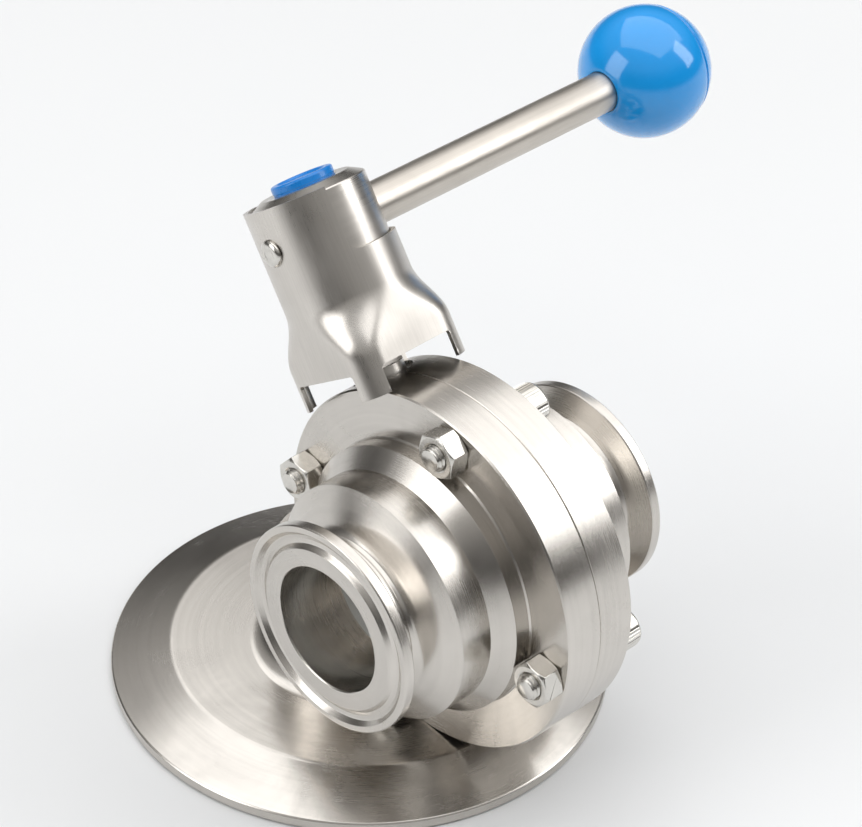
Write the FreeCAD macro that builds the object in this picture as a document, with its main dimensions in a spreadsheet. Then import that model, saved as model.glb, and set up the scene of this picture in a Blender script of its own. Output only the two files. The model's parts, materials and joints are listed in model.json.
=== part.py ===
"""Sanitary pull-handle ball valve, welded to a round clamp-ferrule foot, in millimetres.

Row frame: origin at the centre of the foot's underside, +Z up, +X along the pipe.
Valve frame: origin where the pipe and stem axes cross, x along the pipe, z up the stem.
The stem leans over by stem_roll about the pipe, so one placement seats the whole valve.
The handle is drawn lifted by handle_lift, just clear of the flange rims, so that it can turn.
At the low end of its travel the sleeve's four windows drop over the rims and lock it.
"""
import FreeCAD
import Part
import Sketcher
import math
import os
import re
from FreeCAD import Placement, Rotation, Vector

DOC = FreeCAD.newDocument("pull_handle_valve")
SHEET = DOC.addObject("Spreadsheet::Sheet", "Sizes")
PARTS = {}

SIZES = {
    # the flow way and the ends
    "bore_radius": 15.2, "neck_wall": 4.1, "ferrule_radius": 25.25, "ferrule_rim": 2.8,
    "ferrule_bevel": 2.2, "ferrule_length": 7.3, "groove_inner": 20.0, "groove_outer": 23.2,
    "groove_depth": 1.4, "groove_slope": 0.7,
    # the body halves, outwards from the ball
    "ball_radius": 23.0, "ball_room": 0.5, "barrel_wall": 5.6, "shoulder_wall": 3.5, "shoulder_run": 4.0,
    "neck_curve": 1.2, "neck_flare": 1.7, "neck_stub": 1.5, "collar_step": 4.1, "collar_wide": 4.3,
    "collar_slope": 3.8, "flange_thick": 10.0, "flange_margin": 5.8, "flange_edge": 0.5, "seam_edge": 0.25,
    # ball seats and body gasket
    "seat_lip": 0.1, "seat_contact": 3.0483, "seat_inset": 1.5, "seat_gap": 0.03,
    "gasket_wall": 2.8, "gasket_wide": 3.0, "gasket_half": 0.8, "running_gap": 0.05,
    # flange screws and nuts (M6)
    "screw_count": 4, "screw_inset": 5.9, "screw_radius": 3.0, "screw_play": 0.2,
    "screw_head_radius": 5.0, "screw_head": 6.0, "screw_end": 6.9, "screw_tip": 0.6,
    "screw_head_edge": 0.6, "hex_key": 2.9, "hex_depth": 3.0,
    "nut_corner": 5.77, "nut_thick": 5.2, "nut_chamfer": 0.6,
    # stem and its seals
    "tang_deep": 5.0, "tang_overlap": 1.0, "tang_thick": 8.0, "tang_wide": 14.0, "tang_play": 0.1,
    "stem_rise": 0.6, "stem_radius": 5.5, "collar_out": 2.9, "collar_thick": 3.8, "collar_play": 0.1,
    "washer_thick": 1.6, "bush_wall": 1.7, "bush_recess": 1.4, "oring_cord": 1.2, "oring_start": 3.5,
    "oring_spacing": 6.0, "square_above": 1.6, "square_side": 8.0, "spring_room": 12.0,
    "washer_play": 0.4, "top_washer_thick": 1.0, "stem_screw": 2.5, "stem_screw_head": 4.2,
    "stem_screw_high": 2.6, "stem_screw_deep": 10.0, "stem_screw_edge": 0.6, "drive_radius": 1.5,
    "drive_deep": 1.6,
    # handle block, bar and knob
    "handle_lift": 6.0, "block_radius": 13.7, "block_rise": 11.6, "block_high": 28.0,
    "block_bevel": 3.2, "block_bevel_high": 1.6, "socket_deep": 7.0, "spring_well": 7.4,
    "spring_wire": 0.8, "spring_turns": 4.5, "bar_rise": 17.4, "bar_radius": 5.0, "bar_sunk": 2.2,
    "bar_spigot": 4.0, "spigot_wall": 0.6, "knob_centre": 105.75, "knob_radius": 16.2,
    "knob_flat_rim": 0.6, "knob_seam": 6.5, "seam_width": 0.5, "seam_depth": 0.5, "insert_wall": 2.0,
    "insert_deep": 14.0, "insert_end": 1.0, "insert_inset": 0.8,
    "cap_deep": 3.0, "cap_high": 2.2, "cap_edge": 0.7, "cap_dish": 0.5, "cap_rim": 1.3, "cap_wall": 1.2,
    "rivet_head": 3.2, "rivet_high": 1.3, "rivet_radius": 2.0, "rivet_wall": 1.1, "rivet_edge": 0.6,
    "rivet_crown": 1.9,
    # pressed sleeve
    "sleeve_fit": 0.3, "sleeve_wall": 1.1, "sleeve_below_top": 1.0, "bar_window": 0.8,
    "sleeve_cut_half_angle": 110.0, "round_end_rise": 2.5, "swell_middle": 6.4, "square_rise": 1.6,
    "leg_width": 5.1, "square_corner": 6.3, "middle_in": 0.2, "mid_corner": 10.6,
    "window_play": 0.3, "window_gap": 0.5659, "lift_clear": 0.4384,
    # foot
    "foot_radius": 59.7, "foot_rim": 2.9, "foot_rise": 4.5, "foot_flat": 45.4,
    "foot_groove_inner": 51.2, "foot_groove_outer": 54.8, "foot_groove_depth": 1.6,
    "foot_groove_slope": 1.0, "foot_edge": 0.4, "boss_radius": 21.3, "boss_fillet": 5.2,
    "boss_high": 28.0, "weld_gap": 0.05, "nut_room": 0.9, "valve_offset": 30.5, "stem_roll": 35.8,
    # how far cutting tools reach past what they cut, and how near to round the sleeve's top is
    "cut_margin": 1.0, "cleared": 0.1, "nearly_round": 0.05,
}

# Sizes that follow from others, so that what fits together changes together.
FITS = {
    # along the pipe from the stem axis
    "seat_back": "ball_radius - seat_lip",
    "cavity_half": "sqrt(ball_radius^2 - (bore_radius + seat_contact)^2)",
    "shoulder_x": "ball_radius + shoulder_wall", "neck_fillet_x": "shoulder_x + shoulder_run",
    "neck_end": "neck_fillet_x + neck_curve", "weld_x": "neck_end + neck_stub",
    "half_length": "weld_x + ferrule_length", "collar_x": "flange_thick + collar_wide",
    "barrel_end": "collar_x + collar_slope",
    # outwards from the pipe axis
    "ferrule_neck_radius": "bore_radius + neck_wall",
    "neck_fillet_radius": "ferrule_neck_radius + neck_flare",
    "seat_radius": "ball_radius - seat_inset", "cavity_radius": "ball_radius + ball_room",
    "gasket_inner": "cavity_radius + gasket_wall", "gasket_outer": "gasket_inner + gasket_wide",
    "barrel_radius": "ball_radius + barrel_wall", "collar_radius": "barrel_radius + collar_step",
    "screw_circle": "collar_radius + screw_inset", "flange_radius": "screw_circle + flange_margin",
    "screw_hole": "screw_radius + screw_play",
    # up the stem from the pipe axis; the handle's heights are those of the locked handle
    "tang_low": "ball_radius - tang_deep", "tang_root": "ball_radius - tang_overlap",
    "collar_low": "ball_radius + stem_rise", "collar_top": "collar_low + collar_thick",
    "washer_top": "collar_top + washer_thick", "bush_top": "flange_radius - bush_recess",
    "oring_low": "washer_top + oring_start", "oring_high": "oring_low + oring_spacing",
    "square_low": "flange_radius + square_above", "block_low": "flange_radius + block_rise",
    "spring_seat": "block_low + socket_deep", "stem_top": "spring_seat + spring_room",
    "block_top": "block_low + block_high", "bar_height": "block_low + bar_rise",
    "cap_low": "block_top - cap_deep", "cap_top": "block_top + cap_high",
    "sleeve_top": "block_top - sleeve_below_top", "sleeve_cut": "bar_height - bar_radius - bar_window",
    "sleeve_round_end": "block_low + round_end_rise", "sleeve_square": "flange_radius + square_rise",
    "sleeve_mid": "sleeve_square + swell_middle",
    # the windows clear the rims when locked, and the legs clear them when lifted
    "window_top": "sqrt(flange_radius^2 - (square_half - sleeve_wall)^2) + window_gap",
    "leg_reach": "sqrt(window_half^2 + (square_half - sleeve_wall)^2 - flange_thick^2)",
    "sleeve_low": "sqrt(flange_radius^2 - leg_reach^2) + lift_clear - handle_lift",
    # outwards from the stem axis
    "stem_collar": "stem_radius + collar_out", "stem_pocket": "stem_collar + collar_play",
    "bush_radius": "stem_radius + bush_wall", "oring_groove": "stem_radius - oring_cord",
    "top_washer": "spring_well - washer_play", "bar_seat": "block_radius - bar_sunk",
    "bar_spigot_in": "spring_well + spigot_wall", "rivet_in": "spring_well + rivet_wall",
    "sleeve_radius": "block_radius + sleeve_fit + sleeve_wall",
    "window_half": "flange_thick + window_play", "square_half": "window_half + leg_width",
    "mid_half": "square_half - middle_in",
    # knob
    "knob_flat": "bar_radius + knob_flat_rim", "insert_radius": "bar_spigot + insert_wall",
    "knob_face": "knob_centre - sqrt(knob_radius^2 - knob_flat^2)",
    "insert_face": "knob_face + insert_inset",
}
for row, (alias, number) in enumerate(SIZES.items(), start=1):
    SHEET.set(f"A{row}", alias)
    SHEET.set(f"B{row}", str(number))
    SHEET.setAlias(f"B{row}", alias)
DOC.recompute()


def bound(expression):
    """Spell an expression of size names as the document's expressions need it."""
    def spelt(match):
        name = match[0]
        if name in FITS:
            return f"({bound(FITS[name])})"
        return "Sizes." + name if name in SIZES else name
    return re.sub(r"[a-z][a-z_]+", spelt, str(expression))


def size(expression):
    """The number that an expression of size names stands for."""
    return float(SHEET.evalExpression(bound(expression)))


def origin_plane(body, role):
    return next(f for f in body.Origin.OriginFeatures if f.Role == role)


def outline(body, name, role, points):
    """A closed sketch of straight edges whose corners are all placed by size expressions."""
    sketch = body.newObject("Sketcher::SketchObject", name)
    sketch.AttachmentSupport = [(origin_plane(body, role), "")]
    sketch.MapMode = "FlatFace"
    spots = [Vector(size(a), size(b), 0) for a, b in points]
    for start, end in zip(spots, spots[1:] + spots[:1]):
        sketch.addGeometry(Part.LineSegment(start, end), False)
    for edge in range(len(spots)):
        sketch.addConstraint(Sketcher.Constraint("Coincident", edge, 2, (edge + 1) % len(spots), 1))
    for edge, (spot, texts) in enumerate(zip(spots, points)):
        across = ("DistanceX", spot.x, -2, texts[0])
        along = ("DistanceY", spot.y, -1, texts[1])
        for kind, value, axis, text in (across, along):
            if abs(value) < 1e-9:
                sketch.addConstraint(Sketcher.Constraint("PointOnObject", edge, 1, axis))
                continue
            index = sketch.addConstraint(Sketcher.Constraint(kind, -1, 1, edge, 1, value))
            sketch.setExpression(f"Constraints[{index}]", bound(text))
    return sketch


def turned(label, points, upright=False):
    """A body turned about the pipe, from (x, radius), or upright about the stem, from (radius, z)."""
    body = DOC.addObject("PartDesign::Body", label)
    sketch = outline(body, label + "_outline", "XZ_Plane" if upright else "XY_Plane", points)
    turn = body.newObject("PartDesign::Revolution", label + "_turn")
    turn.Profile = sketch
    turn.ReferenceAxis = (sketch, ["V_Axis" if upright else "H_Axis"])
    turn.Angle = 360
    return body


def placed(feature, at, turn=None):
    """Bind a primitive's place to size expressions, and turn it if it needs turning."""
    if turn:
        feature.Placement = Placement(Vector(), turn)
    for axis, text in zip("xyz", at):
        if str(text) != "0":
            feature.setExpression(f"Placement.Base.{axis}", bound(text))
    return feature


ALONG_X = Rotation(Vector(0, 1, 0), 90)


def rod(name, radius, length, at=("0", "0", "0"), turn=None):
    feature = DOC.addObject("Part::Cylinder", name)
    feature.setExpression("Radius", bound(radius))
    feature.setExpression("Height", bound(length))
    return placed(feature, at, turn)


def block(name, sizes, at):
    """A box whose middle stands at a place in x and y, and its underside in z."""
    feature = DOC.addObject("Part::Box", name)
    for side, text in zip(("Length", "Width", "Height"), sizes):
        feature.setExpression(side, bound(text))
    corner = (f"{at[0]} - ({sizes[0]}) / 2", f"{at[1]} - ({sizes[1]}) / 2", at[2])
    return placed(feature, corner)


def ball(name, radius, at=("0", "0", "0"), turn=None):
    feature = DOC.addObject("Part::Sphere", name)
    feature.setExpression("Radius", bound(radius))
    return placed(feature, at, turn)


def ring(name, radius, thickness, at, turn=None):
    feature = DOC.addObject("Part::Torus", name)
    feature.setExpression("Radius1", bound(radius))
    feature.setExpression("Radius2", bound(thickness))
    return placed(feature, at, turn)


def cut(label, base, *tools):
    """Take the tools out of the base one after another."""
    for number, tool in enumerate(tools, start=1):
        feature = DOC.addObject("Part::Cut", label if number == len(tools) else f"{label}_cut{number}")
        feature.Base = base
        feature.Tool = tool
        base = feature
    return base


def joined(label, *pieces):
    feature = DOC.addObject("Part::MultiFuse", label)
    feature.Shapes = list(pieces)
    return feature


def common(label, base, tool):
    feature = DOC.addObject("Part::Common", label)
    feature.Base = base
    feature.Tool = tool
    return feature


def keep(label, feature, place):
    """Register a finished sub-part under its own label, at its place in the row frame."""
    feature.Label = label
    PARTS[label] = (feature, place)


def shaped(label, shape, place):
    """Register a sub-part whose shape is made directly."""
    feature = DOC.addObject("Part::Feature", label)
    feature.Shape = shape
    keep(label, feature, place)


def fresh(feature):
    """The shape of a feature, worked out now."""
    DOC.recompute()
    return feature.Shape.copy()


PIPE_HEIGHT = "foot_rim + foot_rise + flange_radius + weld_gap"
AT_FOOT = Placement()
AT_VALVE = Placement(Vector(0, -size("valve_offset"), size(PIPE_HEIGHT)),
                     Rotation(Vector(1, 0, 0), -size("stem_roll")))
AT_HANDLE = AT_VALVE.multiply(Placement(Vector(0, 0, size("handle_lift")), Rotation()))


def screw_angles():
    """Angles of the flange screws about the pipe, from the local y axis."""
    count = int(size("screw_count"))
    return [360 / count * (number + 0.5) for number in range(count)]


def ring_of_screws(one):
    """Copies of a shape that stands on the pipe axis, one at each flange screw."""
    copies = []
    for angle in screw_angles():
        copy = one.copy()
        copy.translate(Vector(0, size("screw_circle"), 0))
        copy.rotate(Vector(), Vector(1, 0, 0), angle)
        copies.append(copy)
    return copies


def on_side(side, corners):
    """Outline corners given for the screw-head side, kept there (1) or put on the nut side (-1)."""
    return [(x if x == "0" else f"{side} * ({x})", radius) for x, radius in corners]


def end_ferrule(label, side):
    """The clamp ferrule welded to a body half: gasket groove in its face, sloping back, short neck."""
    keep(label, turned(label, on_side(side, [
        ("weld_x", "bore_radius"), ("half_length", "bore_radius"), ("half_length", "groove_inner"),
        ("half_length - groove_depth", "groove_inner + groove_slope"),
        ("half_length - groove_depth", "groove_outer - groove_slope"),
        ("half_length", "groove_outer"), ("half_length", "ferrule_radius"),
        ("half_length - ferrule_rim", "ferrule_radius"),
        ("half_length - ferrule_rim - ferrule_bevel", "ferrule_neck_radius"),
        ("weld_x", "ferrule_neck_radius")])), AT_VALVE)


def body_half(label, side):
    """One half of the valve body: neck, shoulder, barrel, collar and flange."""
    corners = [
        ("weld_x", "bore_radius"), ("weld_x", "ferrule_neck_radius"),
        ("neck_end", "ferrule_neck_radius"), ("neck_fillet_x", "neck_fillet_radius"),
        ("shoulder_x", "barrel_radius"), ("barrel_end", "barrel_radius"),
        ("collar_x", "collar_radius"), ("flange_thick", "collar_radius"),
        ("flange_thick", "flange_radius - flange_edge"), ("flange_thick - flange_edge", "flange_radius"),
        ("seam_edge", "flange_radius"), ("0", "flange_radius - seam_edge"),
        ("0", "gasket_outer"), ("gasket_half", "gasket_outer"), ("gasket_half", "gasket_inner"),
        ("0", "gasket_inner"), ("0", "cavity_radius"), ("cavity_half", "cavity_radius"),
        ("cavity_half", "seat_radius"), ("seat_back", "seat_radius"), ("seat_back", "bore_radius"),
    ]
    half = turned(label + "_turned", on_side(side, corners))
    holes = rod(label + "_pocket", "stem_pocket", "washer_top")
    bush_hole = rod(label + "_bush_hole", "bush_radius", "flange_radius")
    solid = fresh(cut(label + "_bored", half, holes, bush_hole))
    drill = Part.makeCylinder(size("screw_hole"), 2 * size("half_length"), Vector(-size("half_length"), 0, 0),
                              Vector(1, 0, 0))
    for hole in ring_of_screws(drill):
        solid = solid.cut(hole)
    shaped(label, solid, AT_VALVE)


def seat(label, side):
    """A PTFE seat ring, hollowed to the ball."""
    blank = turned(label + "_blank", on_side(side, [
        ("cavity_half", "bore_radius"), ("cavity_half", "seat_radius"),
        ("seat_back", "seat_radius"), ("seat_back", "bore_radius")]))
    keep(label, cut(label, blank, ball(label + "_hollow", "ball_radius + seat_gap")), AT_VALVE)


def body_gasket():
    """The flat gasket between the halves, open where the stem passes."""
    blank = turned("gasket_blank", [
        ("-gasket_half", "gasket_inner"), ("-gasket_half", "gasket_outer"),
        ("gasket_half", "gasket_outer"), ("gasket_half", "gasket_inner")])
    gap = rod("gasket_gap", "stem_pocket", "flange_radius")
    keep("body_gasket", cut("body_gasket", blank, gap), AT_VALVE)


def valve_ball():
    """The floating ball: a full bore and a slot on top for the stem's tang."""
    slot = block("ball_slot", ("tang_thick + 2 * tang_play", "2 * ball_radius", "ball_radius"),
                 ("0", "0", "tang_low - tang_play"))
    bore = rod("ball_bore", "bore_radius", "2 * ball_radius", ("-ball_radius", "0", "0"), ALONG_X)
    keep("valve_ball", cut("valve_ball", ball("ball_blank", "ball_radius"), bore, slot), AT_VALVE)


def stem():
    """Tang, blow-out collar, sealed shaft and the square that the handle slides on."""
    shaft = turned("stem_shaft", [
        ("0", "collar_low"), ("stem_collar", "collar_low"), ("stem_collar", "collar_top"),
        ("stem_radius", "collar_top"),
        ("stem_radius", "oring_low"), ("oring_groove", "oring_low"),
        ("oring_groove", "oring_low + stem_radius - oring_groove"),
        ("stem_radius", "oring_low + stem_radius - oring_groove"),
        ("stem_radius", "oring_high"), ("oring_groove", "oring_high"),
        ("oring_groove", "oring_high + stem_radius - oring_groove"),
        ("stem_radius", "oring_high + stem_radius - oring_groove"),
        ("stem_radius", "square_low"), ("0", "square_low")], upright=True)
    tang = common("stem_tang", block("tang_blank", ("tang_thick", "tang_wide", "collar_low - tang_low"),
                                     ("0", "0", "tang_low")),
                  ball("tang_crown", "ball_radius + running_gap"))
    tang_foot = block("tang_foot", ("tang_thick", "tang_wide", "collar_low - tang_root"),
                      ("0", "0", "tang_root"))
    flats = block("square_blank", ("square_side", "square_side", "stem_top - square_low"),
                  ("0", "0", "square_low"))
    square = common("stem_square", flats, rod("square_round", "stem_radius", "stem_top"))
    tap = rod("stem_tap", "stem_screw", "stem_screw_deep", ("0", "0", "stem_top - stem_screw_deep"))
    keep("stem", cut("stem", joined("stem_whole", shaft, tang, tang_foot, square), tap), AT_VALVE)


def stem_seals():
    """Thrust washer, bush and the two O-rings."""
    keep("thrust_washer", turned("thrust_washer", [
        ("stem_radius + running_gap", "collar_top + running_gap"),
        ("stem_pocket", "collar_top + running_gap"), ("stem_pocket", "washer_top"),
        ("stem_radius + running_gap", "washer_top")], upright=True), AT_VALVE)
    keep("stem_bush", turned("stem_bush", [
        ("stem_radius + running_gap", "washer_top"), ("bush_radius", "washer_top"),
        ("bush_radius", "bush_top"), ("stem_radius + running_gap", "bush_top")], upright=True), AT_VALVE)
    middle = "(stem_radius + oring_groove) / 2"
    cord = "(stem_radius - oring_groove) / 2"
    rings = [fresh(ring("ring_at_" + height, middle, cord, ("0", "0", f"{height} + {cord}")))
             for height in ("oring_low", "oring_high")]
    shaped("stem_o_rings", Part.makeCompound(rings), AT_VALVE)


def stem_top_fixings():
    """The washer and screw that hold the spring down on the handle block."""
    keep("spring_washer", turned("spring_washer", [
        ("stem_screw", "stem_top"), ("top_washer", "stem_top"),
        ("top_washer", "stem_top + top_washer_thick"), ("stem_screw", "stem_top + top_washer_thick")],
        upright=True), AT_VALVE)
    head = "stem_top + top_washer_thick + stem_screw_high"
    keep("stem_screw", turned("stem_screw_turned", [
        ("0", "stem_top - stem_screw_deep"), ("stem_screw", "stem_top - stem_screw_deep"),
        ("stem_screw", "stem_top + top_washer_thick"), ("stem_screw_head", "stem_top + top_washer_thick"),
        ("stem_screw_head", f"{head} - stem_screw_edge"), ("stem_screw_head - stem_screw_edge", head),
        ("drive_radius", head), ("drive_radius", f"{head} - drive_deep"), ("0", f"{head} - drive_deep")],
        upright=True), AT_VALVE)


def handle_spring():
    """The spring between the block's seat and the washer, at its length with the handle lifted."""
    wire = size("spring_wire")
    length = size("stem_top - spring_seat - handle_lift")
    radius = (size("spring_well") + size("square_side") / 2 * math.sqrt(2)) / 2
    turns = size("spring_turns")
    gap = size("running_gap")
    pitch = (length - wire - 2 * gap) / turns
    helix = Part.makeHelix(pitch, pitch * turns, radius)
    profile = Part.Wire(Part.makeCircle(wire / 2, Vector(radius, 0, 0), Vector(0, 1, 0)))
    coil = Part.Wire(helix.Edges).makePipeShell([profile], True, True)
    coil.translate(Vector(0, 0, size("spring_seat + handle_lift") + wire / 2 + gap))
    shaped("lift_spring", coil, AT_VALVE)


def flange_fasteners():
    """Socket screws from the far side and hexagon nuts on the near side."""
    tail = "flange_thick + screw_end"
    blank = turned("screw_blank", [
        (f"-({tail})", "0"), (f"-({tail})", "screw_radius - screw_tip"),
        (f"-({tail}) + screw_tip", "screw_radius"), ("flange_thick", "screw_radius"),
        ("flange_thick", "screw_head_radius"),
        ("flange_thick + screw_head - screw_head_edge", "screw_head_radius"),
        ("flange_thick + screw_head", "screw_head_radius - screw_head_edge"),
        ("flange_thick + screw_head", "0")])
    key = DOC.addObject("Part::Prism", "hex_key")
    key.Polygon = 6
    key.setExpression("Circumradius", bound("hex_key"))
    key.setExpression("Height", bound("hex_depth"))
    placed(key, ("flange_thick + screw_head - hex_depth", "0", "0"), ALONG_X)
    shaped("flange_screws", Part.makeCompound(ring_of_screws(fresh(cut("one_screw", blank, key)))), AT_VALVE)

    prism = DOC.addObject("Part::Prism", "nut_prism")
    prism.Polygon = 6
    prism.setExpression("Circumradius", bound("nut_corner"))
    prism.setExpression("Height", bound("nut_thick"))
    placed(prism, ("-flange_thick - nut_thick", "0", "0"), ALONG_X)
    crown = turned("nut_crown", [
        ("-flange_thick - nut_thick", "0"), ("-flange_thick - nut_thick", "nut_corner - 2 * nut_chamfer"),
        ("-flange_thick - nut_thick + nut_chamfer", "nut_corner + cleared"),
        ("-flange_thick - nut_chamfer", "nut_corner + cleared"),
        ("-flange_thick", "nut_corner - 2 * nut_chamfer"), ("-flange_thick", "0")])
    hole = rod("nut_hole", "screw_radius", "nut_thick", ("-flange_thick - nut_thick", "0", "0"), ALONG_X)
    nut = fresh(cut("one_nut", common("nut_solid", prism, crown), hole))
    shaped("flange_nuts", Part.makeCompound(ring_of_screws(nut)), AT_VALVE)


def handle_block():
    """The round block: square socket below, spring well above, bar and rivet holes across."""
    blank = turned("block_blank", [
        ("0", "block_low"), ("block_radius", "block_low"),
        ("block_radius", "block_top - block_bevel_high"), ("block_radius - block_bevel", "block_top"),
        ("0", "block_top")], upright=True)
    socket = common("block_socket",
                    block("socket_blank", ("square_side + 2 * running_gap", "square_side + 2 * running_gap",
                                           "spring_seat - block_low + cut_margin"),
                          ("0", "0", "block_low - cut_margin")),
                    rod("socket_round", "stem_radius + running_gap", "block_top"))
    well = rod("block_well", "spring_well", "block_top", ("0", "0", "spring_seat"))
    bar_seat = rod("bar_seat", "bar_radius", "block_radius", ("bar_seat", "0", "bar_height"), ALONG_X)
    bar_tap = rod("bar_tap", "bar_spigot", "block_radius", ("0", "0", "bar_height"), ALONG_X)
    rivet_hole = rod("block_rivet_hole", "rivet_radius", "block_radius",
                     ("-block_radius", "0", "bar_height"), ALONG_X)
    keep("handle_block", cut("handle_block", blank, socket, well, bar_seat, bar_tap, rivet_hole), AT_HANDLE)


def rounded_square(half, corner, height):
    """A square wire with round corners, at one height; nearly round where the corner nears the half side."""
    reach = half - corner
    edges = []
    for quarter in range(4):
        turn = Rotation(Vector(0, 0, 1), 90 * quarter)
        start, end = Vector(half, -reach, height), Vector(half, reach, height)
        bend = Vector(reach + corner * math.cos(math.pi / 4), reach + corner * math.sin(math.pi / 4), height)
        finish = Vector(reach, half, height)
        edges.append(Part.LineSegment(turn.multVec(start), turn.multVec(end)).toShape())
        edges.append(Part.Arc(turn.multVec(end), turn.multVec(bend), turn.multVec(finish)).toShape())
    return Part.Wire(edges)


def sleeve_form(inset):
    """The sleeve's outside (inset 0) or inside: round above, squared out below."""
    round_half = size("sleeve_radius") - inset
    nearly = round_half - size("nearly_round")
    top, low = size("sleeve_top"), size("sleeve_low")
    margin = size("cut_margin") if inset else 0
    upper = rounded_square(round_half, nearly, top + margin)
    upper_end = rounded_square(round_half, nearly, size("sleeve_round_end"))
    middle = rounded_square(size("mid_half") - inset, size("mid_corner") - inset, size("sleeve_mid"))
    square = rounded_square(size("square_half") - inset, size("square_corner") - inset, size("sleeve_square"))
    square_end = rounded_square(size("square_half") - inset, size("square_corner") - inset, low - margin)
    solid = Part.makeLoft([upper, upper_end], True, True)
    solid = solid.fuse(Part.makeLoft([upper_end, middle, square], True, False))
    return solid.fuse(Part.makeLoft([square, square_end], True, True))


def handle_sleeve():
    """The pressed sleeve, open beside the bar and with a window in each side for the rims."""
    reach = 2 * size("sleeve_radius")
    shell = sleeve_form(0).cut(sleeve_form(size("sleeve_wall")))
    half_angle = size("sleeve_cut_half_angle")
    margin = size("cut_margin")
    opening_height = size("sleeve_top - sleeve_cut")
    opening = Part.makeCylinder(reach, opening_height + margin, Vector(0, 0, size("sleeve_cut")),
                                Vector(0, 0, 1), 2 * half_angle)
    opening.rotate(Vector(), Vector(0, 0, 1), -half_angle)
    shell = shell.cut(opening)
    window = 2 * size("window_half")
    window_low = size("sleeve_low") - margin
    for width, depth in ((window, 2 * reach), (2 * reach, window)):
        slot = Part.makeBox(width, depth, size("window_top") - window_low,
                            Vector(-width / 2, -depth / 2, window_low))
        shell = shell.cut(slot)
    rivet = Part.makeCylinder(size("rivet_radius"), reach, Vector(-reach, 0, size("bar_height")),
                              Vector(1, 0, 0))
    shaped("handle_sleeve", shell.cut(rivet), AT_HANDLE)


def handle_bar():
    """The round bar with a spigot at each end, and the rivet opposite it."""
    blank = turned("bar_blank", [
        ("bar_spigot_in", "0"), ("bar_spigot_in", "bar_spigot"), ("bar_seat", "bar_spigot"),
        ("bar_seat", "bar_radius"), ("insert_face", "bar_radius"), ("insert_face", "bar_spigot"),
        ("insert_face + insert_deep - insert_end", "bar_spigot"),
        ("insert_face + insert_deep - insert_end", "0")])
    bar = fresh(blank)
    bar.translate(Vector(0, 0, size("bar_height")))
    shaped("handle_bar", bar, AT_HANDLE)
    skin = "-(sleeve_radius)"
    rivet = fresh(turned("rivet_turned", [
        ("-rivet_in", "0"), ("-rivet_in", "rivet_radius"), (skin, "rivet_radius"), (skin, "rivet_head"),
        (f"{skin} - rivet_edge", "rivet_head"), (f"{skin} - rivet_high", "rivet_crown"),
        (f"{skin} - rivet_high", "0")]))
    rivet.translate(Vector(0, 0, size("bar_height")))
    shaped("sleeve_rivet", rivet, AT_HANDLE)


def knob():
    """The two-piece ball knob, with its threaded insert."""
    centre = ("knob_centre", "0", "bar_height")
    seam = "knob_centre + knob_seam"
    whole = ball("knob_ball", "knob_radius", centre, ALONG_X)
    flat = rod("knob_face_room", "knob_radius", "knob_radius", ("knob_face - knob_radius", "0", "bar_height"),
               ALONG_X)
    way_in = rod("knob_way_in", "bar_radius + running_gap", "insert_inset", ("knob_face", "0", "bar_height"),
                 ALONG_X)
    outer = rod("knob_outer_room", "2 * knob_radius", "2 * knob_radius", (seam, "0", "bar_height"), ALONG_X)
    socket = rod("knob_socket", "insert_radius", "insert_deep", ("insert_face", "0", "bar_height"), ALONG_X)
    mouth = "sqrt(knob_radius^2 - knob_seam^2)"
    groove_blank = rod("seam_blank", "2 * knob_radius", "seam_width",
                       (f"{seam} - seam_width", "0", "bar_height"), ALONG_X)
    groove_core = rod("seam_core", f"{mouth} - seam_depth", "seam_width",
                      (f"{seam} - seam_width", "0", "bar_height"), ALONG_X)
    groove = cut("knob_seam_groove", groove_blank, groove_core)
    keep("knob_shell", cut("knob_shell", whole, flat, outer, way_in, socket, groove), AT_HANDLE)
    inner = rod("knob_inner_room", "2 * knob_radius", "2 * knob_radius",
                (f"{seam} - 2 * knob_radius", "0", "bar_height"), ALONG_X)
    keep("knob_end", cut("knob_end", ball("knob_end_ball", "knob_radius", centre, ALONG_X), inner), AT_HANDLE)
    blank = rod("insert_blank", "insert_radius", "insert_deep", ("insert_face", "0", "bar_height"), ALONG_X)
    thread = rod("insert_thread", "bar_spigot", "insert_deep - insert_end",
                 ("insert_face", "0", "bar_height"), ALONG_X)
    keep("knob_insert", cut("knob_insert", blank, thread), AT_HANDLE)


def cap():
    """The blue plug in the top of the block, hollow below and slightly dished above."""
    keep("cap_plug", turned("cap_plug", [
        ("0", "cap_top - cap_dish - cap_wall"), ("spring_well - cap_wall", "cap_top - cap_dish - cap_wall"),
        ("spring_well - cap_wall", "cap_low"), ("spring_well", "cap_low"),
        ("spring_well", "cap_top - cap_edge"), ("spring_well - cap_edge", "cap_top"),
        ("spring_well - cap_edge - cap_rim", "cap_top"),
        ("spring_well - cap_edge - cap_rim - cap_dish", "cap_top - cap_dish"), ("0", "cap_top - cap_dish")],
        upright=True), AT_HANDLE)


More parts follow.
